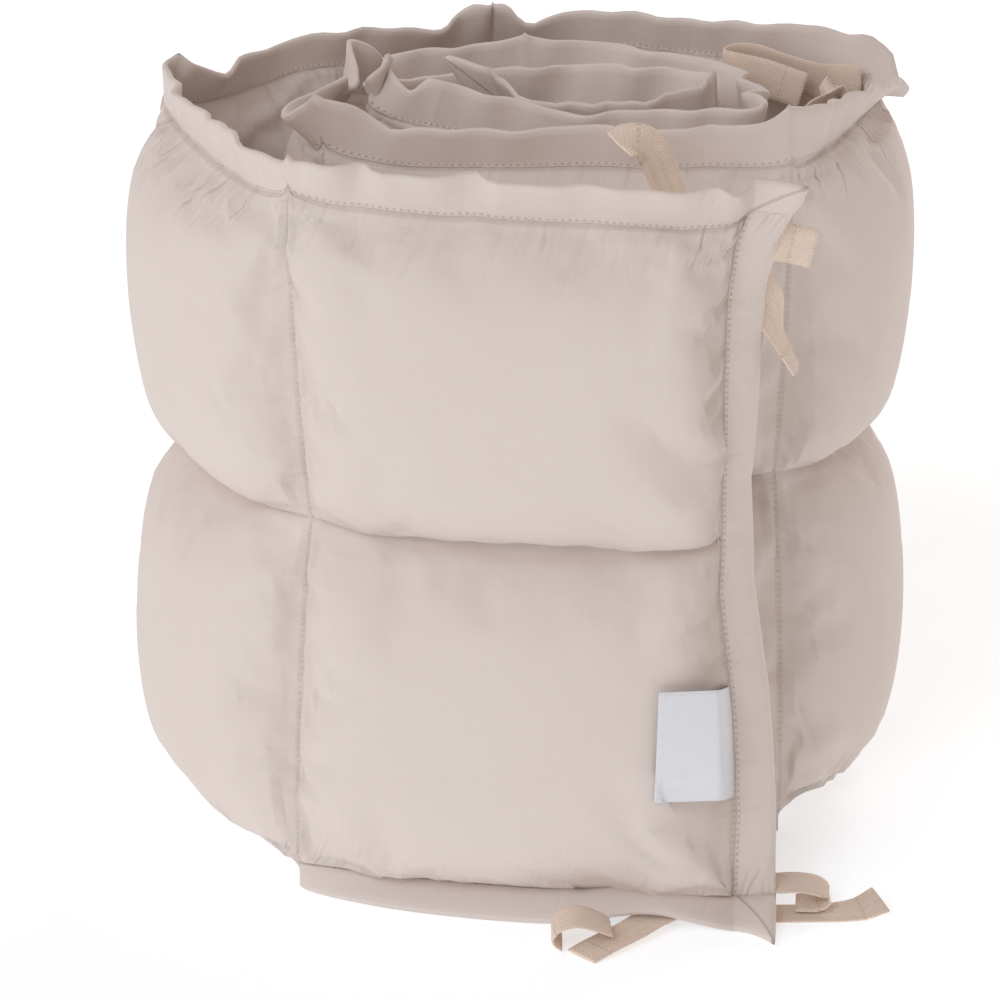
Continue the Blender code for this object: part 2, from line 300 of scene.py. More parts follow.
@dataclass(frozen=True)
class QuiltedCotton:
    """Plain-woven cotton with its thread slubs, stitch lines and the small puckers along them, and painted
    shade along its seams, creases and stitch dips.
    """

    # lit is the cloth's own colour; deep is a darker tone that the slubs and clouding reach at random and
    # that the painted shade near seams also pulls towards.
    lit: tuple[float, float, float] = (0.765, 0.680, 0.640)
    deep: tuple[float, float, float] = (0.650, 0.556, 0.508)
    # Painted shade colour for the creases and for the dips of the stitching.
    stitch_and_crease_shade: tuple[float, float, float] = (0.330, 0.220, 0.165)
    thread: tuple[float, float, float] = (0.840, 0.760, 0.690)
    stitch_pitch: float = 0.0028
    stitch_inset: float = 0.0016
    # How far the painted shade reaches from the end seams and from the upright seams.
    end_shade_reach: float = 0.024
    seam_shade_reach: float = 0.009
    rim_reach: float = 0.062
    seam_reach: float = 0.034
    yarns: float = 2600.0
    weave: float = 2200.0
    pucker_depth: float = 0.0016
    weave_depth: float = 0.00018

    def make(
        self, panel: float, rims: tuple[float, float], level: float, ends: tuple[float, float]
    ) -> bpy.types.Material:
        """Build the material.

        Args:
            panel: distance between two upright seams along the cloth.
            rims: heights of the lower and upper rim stitching on the cloth.
            level: height of the level seam.
            ends: distance along the cloth of the stitching at its two ends.

        Returns:
            The material.
        """
        bench = Bench("quilted_cotton")
        run, rise, mark = bench.cloth_place()
        past_rim = (rims[0] - rise).most(rise - rims[1])
        past_end = (ends[0] - run).most(run - ends[1])
        off_seam = (((run / panel + 0.5).part() - 0.5) * panel).size()
        rim_gap, end_gap = past_rim.size(), past_end.size()
        inside_rims = past_rim.fade(0.0004, 0.0012)
        inside_ends = past_end.fade(0.0004, 0.0012)
        rim_sewing = self._sewing(run, (past_rim - self.stitch_inset).size(), inside_ends)
        end_sewing = self._sewing(rise, (past_end - self.stitch_inset).size(), inside_rims)
        seam_sewing = self._sewing(rise, off_seam, inside_rims * 0.35)
        holes = rim_sewing[0].most(end_sewing[0]).most(seam_sewing[0])
        threads = rim_sewing[1].most(end_sewing[1]).most(seam_sewing[1])
        # Fold lines: creases at the rims, the ends, the mitred corners and the upright seams; they get
        # painted shade in the colour and a groove in the bump.
        mitre = (past_rim - past_end).size().fade(0.0003, 0.0010)
        mitre = mitre * (1.0 - inside_rims) * (1.0 - inside_ends)
        level_gap = (rise - level).size()
        fold = rim_gap.fade(0.0002, 0.0009) * inside_ends
        fold = fold.most(end_gap.fade(0.0002, 0.0009) * inside_rims).most(mitre)
        fold = fold.most(off_seam.fade(0.0002, 0.0008) * inside_rims * 0.7)
        warp = bench.noise(run * self.yarns, rise * 34.0, 9.0, 1.0)
        weft = bench.noise(run * 34.0, rise * self.yarns, 7.0, 1.0)
        cloud = bench.noise(run * 14.0, rise * 14.0, 1.0, 3.0)
        # Painted shade: the colour is pulled towards the deep tone near the stitching at both ends of the
        # strip and, more weakly, near every upright seam, where shade falls in the grooves.
        by_end = (end_gap / self.end_shade_reach).fade(0.0, 1.0) * inside_ends
        painted_seam_shade = by_end + (off_seam / self.seam_shade_reach).fade(0.0, 1.0) * 0.35
        shade = (warp + weft) * 0.25 + cloud * 0.34 - 0.03 + painted_seam_shade * 0.45
        colour = bench.tint(shade, self.lit, self.deep)
        colour = bench.blend(threads * 0.30, colour, self.thread)
        # Painted shade: the creases and the dips between stitches are darkened.
        colour = bench.blend(fold * 0.22, colour, self.stitch_and_crease_shade)
        colour = bench.blend(holes * 0.20, colour, self.stitch_and_crease_shade)
        bench.feed(bench.shader.inputs["Base Color"], colour)
        bench.surface(roughness=0.86, specular_ior_level=0.22, sheen_weight=0.05, sheen_roughness=0.45)
        reach = bench.noise(run * 55.0, rise * 12.0, 3.0, 1.0)
        by_rim = bench.noise(run * 118.0 + rise * 34.0, rise * 26.0 + reach * 3.0, 0.0, 1.5) - 0.5
        by_rim = (by_rim * 0.7 + by_rim.size() * 1.6) * (rim_gap / (reach * self.rim_reach)).fade(0.05, 1.0)
        by_rim = by_rim * (inside_rims * 0.7 + 0.3)
        by_seam = bench.noise(run * 26.0 + reach * 2.0, rise * 92.0, 7.0, 1.5) - 0.5
        near_seam = (off_seam / self.seam_reach).fade(0.0, 1.0)
        by_seam = (by_seam * 0.8 + by_seam.size()) * near_seam * near_seam
        by_level = bench.noise(run * 80.0, rise * 24.0, 5.0, 1.5) - 0.5
        by_level = (by_level * 0.6 + by_level.size()) * level_gap.fade(0.003, 0.030)
        dents = bench.noise(run * 16.0, rise * 16.0, 4.0, 1.5) * 0.8
        pucker = (by_rim * 2.9 + by_seam * 1.1 + by_level * 1.0) * mark + dents
        height = pucker - fold * 0.25 + threads * 0.10 - holes * 0.15
        first = bench.relief(height, self.pucker_depth)
        fine = (warp + weft) * 0.5
        wale = (run * self.weave * math.pi).sine() * (rise * self.weave * math.pi).sine() * 0.25 + 0.5
        second = bench.relief(fine * 0.8 + wale * 0.2, self.weave_depth, 0.5, first)
        bench.feed(bench.shader.inputs["Normal"], second)
        return bench.material

    def _sewing(self, along: Wire, gap: Wire, where: Wire) -> tuple[Wire, Wire]:
        """Give one line of stitches.

        Args:
            along: distance along the line.
            gap: distance from it.
            where: the share of the line that shows.

        Returns:
            Its needle holes and its threads, each 1 where it lies.
        """
        beat = ((along / self.stitch_pitch).part() - 0.5).size() * self.stitch_pitch
        holes = beat.fade(0.0002, 0.0006) * gap.fade(0.0002, 0.0006) * where
        threads = (1.0 - beat.fade(0.0004, 0.0008)) * gap.fade(0.00015, 0.00045) * where
        return holes, threads


@dataclass(frozen=True)
class HerringboneTape:
    """Twill tape whose diagonal ribs meet in small zigzags."""

    lit: tuple[float, float, float] = (0.960, 0.795, 0.675)
    deep: tuple[float, float, float] = (0.720, 0.530, 0.410)
    rib: float = 0.0011
    zigzag: float = 0.0048
    hem: float = 0.0085
    stitch_pitch: float = 0.0024

    def make(self) -> bpy.types.Material:
        """Build the material.

        Returns:
            The material.
        """
        bench = Bench("herringbone_tape")
        along, across, end_gap = bench.cloth_place()
        fold = ((across / self.zigzag).part() - 0.5).size() * self.zigzag
        ribs = ((along + fold) / self.rib * (2.0 * math.pi)).sine() * 0.5 + 0.5
        fibre = bench.noise(along * 900.0, across * 2600.0, 0.0, 2.0)
        hem = (end_gap - self.hem).size().fade(0.0002, 0.0007)
        beat = ((across / self.stitch_pitch).part() - 0.5).size() * self.stitch_pitch
        stitches = hem * (1.0 - beat.fade(0.0003, 0.0007))
        colour = bench.tint(ribs * 0.26 + fibre * 0.16, self.lit, self.deep)
        colour = bench.blend(stitches * 0.6, colour, self.deep)
        bench.feed(bench.shader.inputs["Base Color"], colour)
        bench.surface(roughness=0.82, specular_ior_level=0.25, sheen_weight=0.15)
        height = ribs * 0.8 + fibre * 0.3 - hem * 0.5
        bench.feed(bench.shader.inputs["Normal"], bench.relief(height, 0.00035))
        return bench.material


@dataclass(frozen=True)
class LabelCloth:
    """Fine white ribbed label cloth with nothing printed on it."""

    lit: tuple[float, float, float] = (0.870, 0.870, 0.915)
    deep: tuple[float, float, float] = (0.660, 0.660, 0.710)
    rib: float = 0.00055

    def make(self) -> bpy.types.Material:
        """Build the material.

        Returns:
            The material.
        """
        bench = Bench("label_cloth")
        along, across, _ = bench.cloth_place()
        ribs = (across / self.rib * (2.0 * math.pi)).sine() * 0.5 + 0.5
        yarn = bench.noise(along * 1500.0, across * 900.0, 0.0, 2.0)
        colour = bench.tint(ribs * 0.2 + yarn * 0.35, self.lit, self.deep)
        bench.feed(bench.shader.inputs["Base Color"], colour)
        bench.surface(roughness=0.55, sheen_weight=0.1)
        bench.feed(bench.shader.inputs["Normal"], bench.relief(ribs * 0.6 + yarn * 0.5, 0.00025))
        return bench.material


@dataclass(frozen=True)
class PaleFloor:
    """Smooth white studio floor."""

    colour: tuple[float, float, float] = (0.93, 0.93, 0.93)
    glow: tuple[float, float, float] = (0.350, 0.382, 0.405)

    def make(self) -> bpy.types.Material:
        """Build the material.

        Returns:
            The material.
        """
        bench = Bench("pale_floor")
        bench.shader.inputs["Base Color"].default_value = (*self.colour, 1.0)
        bench.shader.inputs["Roughness"].default_value = 0.75
        bench.shader.inputs["Emission Color"].default_value = (*self.glow, 1.0)
        bench.shader.inputs["Emission Strength"].default_value = 1.0
        return bench.material


# ---------------------------------------------------------------- cloth made from grids of points


def unit(vector: Sequence[float]) -> np.ndarray:
    """Scale a vector to length one."""
    made = np.asarray(vector, dtype=float)
    return made / np.linalg.norm(made)


def bulge(share: Any, fullness: float) -> Any:
    """Give the height of a filled chamber's outline, 0 at its seams and 1 halfway.

    Args:
        share: place across the chamber, 0 to 1, a number or an array.
        fullness: exponent of the outline; higher is boxier.

    Returns:
        The height as a share of the fullest.
    """
    return np.sqrt(np.maximum(0.0, 1.0 - np.abs(2.0 * np.asarray(share) - 1.0) ** fullness))


def eased(steps: int) -> np.ndarray:
    """Give steps + 1 shares from 0 to 1 that crowd towards both ends."""
    even = np.linspace(0.0, 1.0, steps + 1)
    return 0.45 * even + 0.55 * (0.5 - 0.5 * np.cos(math.pi * even))


def ripple(along: np.ndarray, waves: Sequence[tuple[float, float, float]]) -> np.ndarray:
    """Add up sine waves along a line.

    Args:
        along: distances in millimetres.
        waves: for each wave its length in millimetres, its height and its phase in degrees.

    Returns:
        The sum at each distance.
    """
    total = np.zeros_like(along)
    for length, height, phase in waves:
        total = total + height * np.sin(2.0 * math.pi * along / length + math.radians(phase))
    return total


def link_piece(name: str, mesh: bpy.types.Mesh, finish: bpy.types.Material) -> bpy.types.Object:
    """Put a finished mesh into the scene at the origin.

    Args:
        name: the piece's name.
        mesh: its mesh.
        finish: its material.

    Returns:
        The new object.
    """
    mesh.materials.append(finish)
    mesh.shade_smooth()
    made = bpy.data.objects.new(name, mesh)
    bpy.context.collection.objects.link(made)
    return made


def closed_cloth(
    name: str, faces: dict[Side, np.ndarray], marks: np.ndarray, round_edge: float
) -> bpy.types.Mesh:
    """Join two grids of points, one for each face of a cloth, by a rounded fold along all four edges.

    Args:
        name: the mesh's name.
        faces: for each side an array of points by column, row and axis, in metres.
        marks: what the attribute cloth holds at each column and row.
        round_edge: how far the fold stands out beyond the faces' edges, in metres.

    Returns:
        The closed mesh.
    """
    outer, inner = faces[Side.OUTER], faces[Side.INNER]
    wide, high = outer.shape[0] - 1, outer.shape[1] - 1
    count = (wide + 1) * (high + 1)
    edge = [(i, 0) for i in range(wide)] + [(wide, j) for j in range(high)]
    edge += [(i, high) for i in range(wide, 0, -1)] + [(0, j) for j in range(high, 0, -1)]
    ring, ring_marks = [], []
    for i, j in edge:
        near_i = min(max(i, 1), wide - 1)
        near_j = min(max(j, 1), high - 1)
        middle = 0.5 * (outer[i, j] + inner[i, j])
        away = middle - 0.5 * (outer[near_i, near_j] + inner[near_i, near_j])
        ring.append(middle + round_edge * away / max(1e-9, np.linalg.norm(away)))
        ring_marks.append(marks[i, j])
    points = np.vstack((outer.reshape(-1, 3), inner.reshape(-1, 3), np.array(ring)))
    points[:, 2] = np.maximum(points[:, 2], 0.0)
    notes = np.vstack((marks.reshape(-1, 3), marks.reshape(-1, 3), np.array(ring_marks)))
    at = np.arange(count).reshape(wide + 1, high + 1)
    front = np.stack((at[:-1, :-1], at[:-1, 1:], at[1:, 1:], at[1:, :-1]), axis=-1).reshape(-1, 4)
    back = front[:, ::-1] + count
    band = []
    for k, (i, j) in enumerate(edge):
        n, m = edge[(k + 1) % len(edge)]
        here, there = 2 * count + k, 2 * count + (k + 1) % len(edge)
        band.append((at[i, j], at[n, m], there, here))
        band.append((here, there, at[n, m] + count, at[i, j] + count))
    mesh = bpy.data.meshes.new(name)
    mesh.from_pydata(points.tolist(), [], front.tolist() + back.tolist() + band)
    note = mesh.attributes.new("cloth", "FLOAT_VECTOR", "POINT")
    note.data.foreach_set("vector", notes.astype(np.float32).ravel())
    shape = bmesh.new()
    shape.from_mesh(mesh)
    bmesh.ops.recalc_face_normals(shape, faces=shape.faces)
    shape.to_mesh(mesh)
    shape.free()
    mesh.update()
    return mesh


# ---------------------------------------------------------------- the padded strip


@dataclass(frozen=True)
class Seam:
    """An upright seam and the panel that follows it, in millimetres and degrees on the plan.

    x and y place the seam, waist is how far the level seam is drawn in there, bow how far the panel bows
    out, outer and inner how thick its bulges are and foot how far its foot flange reaches out.
    """

    x: float
    y: float
    waist: float
    bow: float
    outer: float
    inner: float
    foot: float


WINDING = (
    Seam(84.0, -90.0, 10.0, 6.0, 25.0, 20.0, 14.0),
    Seam(-84.0, -60.0, 11.0, 7.0, 24.0, 14.0, -13.0),
    Seam(-139.0, 78.0, 10.0, 9.0, 22.0, 14.0, -13.0),
    Seam(-12.0, 162.0, 8.0, 8.0, 22.0, 14.0, -13.0),
    Seam(138.0, 100.0, 9.0, 7.0, 22.0, 12.0, -13.0),
    Seam(101.0, -12.0, 9.0, 3.0, 22.0, 10.0, -7.0),
    Seam(-74.0, 14.0, 4.0, 38.0, 15.0, 10.0, -4.0),
    Seam(2.0, 118.0, 3.0, 36.0, 11.0, 10.0, -4.0),
    Seam(90.0, 28.0, 2.0, 4.0, 10.0, 8.0, 3.0),
    Seam(-58.0, 44.0, 1.0, 32.0, 9.0, 6.0, -3.0),
    Seam(76.0, 66.0, 0.0, 12.0, 6.0, 4.0, 3.0),
    Seam(-4.0, 56.0, 0.0, 0.0, 0.0, 0.0, 3.0),
)


@dataclass(frozen=True)
class Pinch:
    """How the top flange stands at one place of the rim.

    turn counts panels from the free end, lean is in degrees outwards and lift is how far its stitching
    stands above the plain rim. rise is how much wider the flange is there and slide how far its free edge
    is pushed along the rim. The last three are in millimetres.
    """

    turn: float
    lean: float
    lift: float = 0.0
    rise: float = 0.0
    slide: float = 0.0


RIM = tuple(Pinch(*row) for row in (
    (-0.10, 16.0, 1.5, -4.0, -4.0), (0.00, 14.0, 4.0, -2.0), (0.03, 34.0, 4.5), (0.07, 6.0, 5.5),
    (0.12, 20.0, 6.0), (0.20, 22.0, 7.5), (0.32, 24.0, 8.5), (0.45, 16.0, 8.5), (0.56, 22.0, 8.5),
    (0.595, -8.0, 8.5), (0.63, 16.0, 8.0), (0.80, 20.0, 7.5), (0.845, -14.0, 6.5), (0.875, 16.0, 6.0),
    (0.95, 6.0, 5.0, -1.0), (1.00, 8.0, 3.5, -5.0), (1.05, 6.0, 4.0, -3.5), (1.12, 8.0, 4.5, -2.0),
    (1.27, 8.0, 6.0, 2.5), (1.50, 3.0, 7.0, -1.5), (1.70, 8.0, 6.5), (1.90, 4.0, 4.0),
    (1.97, -6.0, 2.5, 1.0), (2.00, -22.0, 2.0, 3.5), (2.05, -28.0, 1.5, 3.0), (2.10, -40.0, 1.0, 1.0),
    (2.15, -48.0, 1.0, 0.0), (2.19, -34.0, 1.5, 1.0), (2.23, -20.0, 2.0, 1.0), (2.28, -12.0, 3.0, 0.5),
    (2.34, -14.0, 3.5, -2.0), (2.38, -10.0, 4.5, -3.0), (2.42, -10.0, 5.5, -2.5), (2.50, -14.0, 5.5, -1.5),
    (2.58, -22.0, 5.0), (2.62, -14.0, 4.5, -1.0), (2.72, -28.0, 3.5, 0.5), (2.78, -34.0, 2.5, 1.5),
    (2.85, -46.0, 1.5, 1.0), (2.90, -20.0, 0.0, 3.0), (2.93, -20.0, 0.0, 8.5), (2.97, -28.0, 0.0, 9.0),
    (3.00, -28.0, 0.0, 7.4), (3.04, -22.0, 0.5, 9.5), (3.07, -24.0, 0.8, 9.7), (3.09, -38.0, 1.0, 4.4),
    (3.12, -42.0, 1.5, -0.5), (3.15, -36.0, 3.5, 1.0), (3.20, -18.0, 5.5, 0.5), (3.35, -22.0, 8.5),
    (3.48, -14.0, 8.5), (3.60, -26.0, 8.5), (3.75, -8.0, 8.0, 1.0), (3.86, 6.0, 6.5, 2.0),
    (3.93, 12.0, 4.0, 1.0), (3.97, 20.0, 4.0, 2.0), (3.985, 30.0, 4.2, 1.0), (4.00, 54.0, 4.0, -5.0),
    (4.02, 80.0, 4.2, -5.0), (4.06, 92.0, 4.5, -1.5), (4.10, 88.0, 4.8, -2.0), (4.14, 74.0, 5.0, 0.5),
    (4.30, 48.0, 6.0, 1.5), (4.50, 30.0, 6.5, 3.5), (4.66, 18.0, 6.0, 2.5), (4.72, 22.0, 5.5, 3.0),
    (4.78, 4.0, 5.5, 4.5), (4.92, 8.0, 4.0, 6.0), (5.00, 2.0, 3.5, 6.0), (5.04, 4.0, 4.0, 2.0),
    (5.14, 14.0, 5.0), (5.17, -2.0, 5.0), (5.21, 12.0, 5.0), (5.45, 12.0, 4.5), (5.70, 14.0, 1.5),
    (5.80, 10.0, -0.5), (5.85, 8.0, -1.0, -3.0), (5.90, 6.0, -1.5, 1.0), (5.94, 6.0, -2.0, 5.0),
    (5.98, 0.0, -2.0, 4.5), (6.00, 4.0, -2.0, 3.5), (6.03, 42.0, -2.0, 4.0), (6.07, 38.0, 0.0, 3.0),
    (6.12, 0.0, 1.0, 1.0), (6.20, -34.0, 5.0, 8.0), (6.26, -46.0, 4.0, 4.0), (6.31, -30.0, 2.0, -2.0),
    (6.41, -40.0, 1.0, 0.0), (6.435, -38.0, 2.0, 1.0), (6.47, -12.0, 7.0, 6.0), (6.54, -18.0, 5.0, 4.5),
    (6.58, -22.0, 2.0, 1.0), (6.62, 40.0, 0.0, -2.0), (6.68, 10.0), (6.80, -12.0), (7.00, 4.0),
    (7.20, 12.0), (7.30, -6.0), (7.50, 10.0), (7.62, 26.0), (7.70, -20.0, 0.0, 1.0),
    (7.78, 24.0, 0.0, -2.0), (7.88, -20.0, 0.0, 2.0), (8.00, 14.0), (8.20, 4.0), (8.50, 12.0),
    (8.65, 6.0, 2.0, 2.0), (8.75, 2.0, 3.5, 2.5), (8.84, 0.0, 4.5, 4.0), (8.90, 6.0, 5.0, -4.5, -2.0),
    (8.95, -10.0, 4.5, -1.0, -3.0), (9.00, -22.0, 4.0, 6.0), (9.04, 14.0, 2.0, -2.0, -9.0),
    (9.09, 10.0, 2.0, 0.0, -4.0), (9.16, -8.0), (9.30, 10.0), (9.48, -10.0, 0.0, 2.0), (9.60, 6.0),
    (9.78, -8.0, 0.0, 3.0), (9.90, 12.0), (10.00, -6.0), (10.20, 12.0), (10.50, 20.0), (10.80, 30.0),
    (10.92, 30.0, 0.0, 3.0, 3.0), (11.00, 28.0, 0.0, 0.0, 5.0), (11.10, 26.0, 0.0, 5.0, 8.0),
))


# How the cloth gives when it is blown up. The two shrink numbers are the spare cloth, as a share of its
# length: the first where calm is 0, the second where it is 1.
FILLING = {
    "quality": 4,
    "mass": 0.2,
    "tension_stiffness": 18.0,
    "compression_stiffness": 18.0,
    "shear_stiffness": 6.0,
    "bending_stiffness": 0.15,
    "use_pressure": True,
    "uniform_pressure_force": 4.0,
    "shrink_min": -0.100,
    "shrink_max": -0.008,
}


@dataclass
class Columns:
    """The strip's upright lines as arrays, one entry a column."""

    place: np.ndarray
    normal: np.ndarray
    heading: np.ndarray
    drawn: np.ndarray
    tugged: np.ndarray
    outer: np.ndarray
    inner: np.ndarray
    lower: np.ndarray
    upper: np.ndarray
    spread: np.ndarray
    foot: np.ndarray
    off_floor: np.ndarray
    turn: np.ndarray
    past: np.ndarray
    run: np.ndarray
    lean: np.ndarray
    rise: np.ndarray
    slide: np.ndarray
    rim_normal: np.ndarray


@dataclass
class PaddedStrip:
    """The filled strip of cloth, wound from its free end at the front right to the middle of the roll."""

    cloth: float = 2.4
    flange: float = 16.0
    foot_stitch: float = 9.0
    lower_seam: float = 139.0
    lower_mid: float = 137.0
    upper_seam: float = 129.0
    upper_mid: float = 120.0
    plain_crest: float = 123.0
    plain_seams: tuple[int, ...] = (2, 3, 4, 5, 7, 8, 10)
    sag: float = 4.5
    lower_sag: float = 1.0
    sag_depth: float = 25.0
    crease_gap: float = 0.3
    outer_fullness: float = 2.7
    inner_fullness: float = 1.8
    level_fullness: float = 4.4
    end_pull: tuple[tuple[float, float], ...] = (
        (0.0, 4.0), (43.0, 3.2), (66.0, 3.9), (92.0, 5.9), (106.0, 7.8), (130.0, 10.8), (150.0, 10.0),
        (215.0, 10.0), (248.0, 9.5), (268.0, 7.0), (284.0, 1.0))
    end_curl: tuple[tuple[float, float], ...] = (
        (0.0, 0.0), (14.0, 4.0), (60.0, 7.0), (125.0, 9.0), (150.0, 11.0), (170.0, 12.0), (190.0, 10.5),
        (225.0, 9.0), (252.0, 8.0), (270.0, 4.0), (284.0, 0.0))
    end_fullness: float = 6.0
    end_raise: float = 3.5
    corner_reach: float = 12.0
    lift_height: float = 6.5
    lift_place: float = 0.20
    lift_spread: float = 0.14
    panel_cut: float = 178.0
    lower_cut: float = 155.0
    upper_cut: float = 150.0
    shown_panels: int = 9
    shown_steps: int = 44
    crumpled_steps: int = 72
    crumpled: tuple[int, ...] = (6, 8, 9)
    hidden_steps: int = 24
    chamber_steps: int = 34
    flange_steps: int = 6
    rim_waves: tuple[tuple[float, float, float], ...] = (
        (71.0, 4.0, 40.0), (43.0, 4.0, 110.0), (23.0, 3.0, 10.0))
    rim_blend: float = 2.8
    corner_blend: float = 7.0
    puckers: tuple[tuple[float, float], ...] = (
        (0.0, 0.8), (0.06, 0.5), (0.15, 0.3), (0.7, 0.25), (0.95, 0.5), (1.1, 0.6), (1.95, 0.6), (2.05, 0.3),
        (3.95, 0.3), (4.05, 0.65), (4.9, 0.55), (5.1, 0.2), (6.0, 0.25), (11.0, 0.2))
    slack: float = 0.88
    settle_frames: int = 20
    swell_cap: float = 6.0
    usual_calm: float = 0.6
    free_end: float = 0.08
    seams: tuple[Seam, ...] = WINDING
    pinches: tuple[Pinch, ...] = RIM
    rim_places: np.ndarray = field(default_factory=lambda: np.arange(-0.12, 11.12, 0.005))
    node: str = "padded_strip"
    pieces: list[bpy.types.Object] = field(default_factory=list)

    # ------------------------------------------------ plan

    def arc(self, panel: int) -> tuple[np.ndarray, float, float, np.ndarray, np.ndarray]:
        """Give a panel's arc in plan.

        Args:
            panel: the panel's number from the free end.

        Returns:
            Its centre, radius and half angle, and its chord's direction and outward normal.
        """
        start, end = self.seams[panel], self.seams[panel + 1]
        a, b = np.array((start.x, start.y)), np.array((end.x, end.y))
        along = unit(b - a)
        out = np.array((-along[1], along[0]))
        half = 0.5 * float(np.linalg.norm(b - a))
        radius = (half * half + start.bow * start.bow) / (2.0 * start.bow)
        swing = math.asin(min(1.0, half / radius))
        return 0.5 * (a + b) + out * (start.bow - radius), radius, swing, along, out

    def outward(self, panel: int, share: float) -> np.ndarray:
        """Give the outward normal in plan at a share of the way across a panel."""
        _, _, swing, along, out = self.arc(panel)
        angle = swing * (2.0 * share - 1.0)
        return math.cos(angle) * out + math.sin(angle) * along

    def seam_normal(self, seam: int) -> np.ndarray:
        """Give the outward normal in plan at a seam, halfway between those of the panels it joins."""
        last = len(self.seams) - 1
        before = self.outward(max(seam - 1, 0), 0.0 if seam == 0 else 1.0)
        after = self.outward(min(seam, last - 1), 1.0 if seam == last else 0.0)
        return unit(before + after)

    def stations(self) -> list[tuple[int, float, float]]:
        """List the columns from the free end to the middle.

        Returns:
            For each the panel, the share across it, and the distance past an end seam.
        """
        last = len(self.seams) - 2
        steps = self.flange_steps
        made = [(0, 0.0, -self.flange * (1.0 - i / steps)) for i in range(steps)]
        for panel in range(last + 1):
            count = self.shown_steps if panel < self.shown_panels else self.hidden_steps
            count = self.crumpled_steps if panel in self.crumpled else count
            made += [(panel, float(share), 0.0) for share in eased(count)[:-1]]
        return made + [(last, 1.0, self.flange * i / steps) for i in range(steps + 1)]

    def column(self, panel: int, share: float, past: float) -> dict[str, Any]:
        """Work out one column.

        Args:
            panel: the panel's number.
            share: place across the panel, 0 to 1.
            past: distance beyond the first seam (negative) or the last (positive).

        Returns:
            The column's numbers by the names of Columns.
        """
        start, end = self.seams[panel], self.seams[panel + 1]
        centre, radius = self.arc(panel)[:2]
        normal = self.outward(panel, share)
        heading = np.array((normal[1], -normal[0]))
        place = centre + radius * normal + past * heading
        drawn_start = self.seam_normal(panel) * -start.waist
        drawn_end = self.seam_normal(panel + 1) * -end.waist
        near_end = max(0.0, 1.0 - 3.0 * share) ** 2 if panel == 0 else 0.0
        by_end = panel == 0 and share < 0.5
        full = float(bulge(share, self.end_fullness if by_end else self.outer_fullness))
        raised = self.end_raise * (1.0 - share) ** 2 if panel == 0 else 0.0
        corner = self.corner_reach * (past / self.flange) ** 2 if panel == 0 else 0.0
        spread = math.copysign(1.0 if by_end else full, start.foot)
        lift = self.lift_height * math.exp(-(((share - self.lift_place) / self.lift_spread) ** 2))
        crest = self.plain_crest if round(panel + share) in self.plain_seams else self.upper_seam
        return {
            "place": place,
            "normal": self.seam_normal(panel) if share == 0.0 else normal,
            "heading": heading,
            "drawn": drawn_start + (drawn_end - drawn_start) * share,
            "tugged": heading * near_end,
            "outer": 0.0 if past else start.outer * full,
            "inner": 0.0 if past else start.inner * float(bulge(share, self.inner_fullness)),
            "lower": self.lower_seam + (self.lower_mid - self.lower_seam) * full + raised,
            "upper": crest + (self.upper_mid - crest) * full - raised,
            "spread": spread,
            "foot": (abs(start.foot) + corner) * spread,
            "off_floor": lift if panel == 0 else 0.0,
            "turn": panel + share,
            "past": past,
            "run": (panel + share) * self.panel_cut + past,
        }

    def columns(self) -> Columns:
        """Work out every column.

        Returns:
            The columns as arrays.
        """
        return self.gather([self.column(*station) for station in self.stations()])

    def gather(self, rows: list[dict[str, Any]]) -> Columns:
        """Put columns together as arrays, with the shape of the rim over them.

        Args:
            rows: each column's numbers by name.

        Returns:
            The columns.
        """
        made = {key: np.array([row[key] for row in rows], dtype=float) for key in rows[0]}
        place = made["turn"] + made["past"] / self.panel_cut
        apart = (place[:, None] - self.rim_places[None, :]) * self.panel_cut
        near = np.exp(-((apart / self.rim_blend) ** 2))
        near = near / near.sum(axis=1, keepdims=True)
        turns = [pinch.turn for pinch in self.pinches]
        for key in ("lean", "lift", "rise", "slide"):
            values = [getattr(pinch, key) for pinch in self.pinches]
            made[key] = near @ np.interp(self.rim_places, turns, values)
        made["lean"] = np.radians(made["lean"] + ripple(made["run"], self.rim_waves))
        made["upper"] = made["upper"] + made.pop("lift")
        run = made["run"]
        near = np.exp(-(((run[:, None] - run[None, :]) / self.corner_blend) ** 2))
        near = near * (np.gradient(run) if len(run) > 1 else 1.0)
        eased_normal = near @ made["normal"]
        made["rim_normal"] = eased_normal / np.linalg.norm(eased_normal, axis=1, keepdims=True)
        return Columns(**made)

    # ------------------------------------------------ rows

    def rows(self) -> list[tuple[Zone, float]]:
        """List the rows from the floor up, each a zone and a share of its height."""
        steps = self.flange_steps
        made = [(Zone.FOOT, i / steps) for i in range(steps)]
        for zone in (Zone.LOWER, Zone.UPPER):
            made += [(zone, float(share)) for share in eased(self.chamber_steps)[:-1]]
        return made + [(Zone.TOP, i / steps) for i in range(steps + 1)]

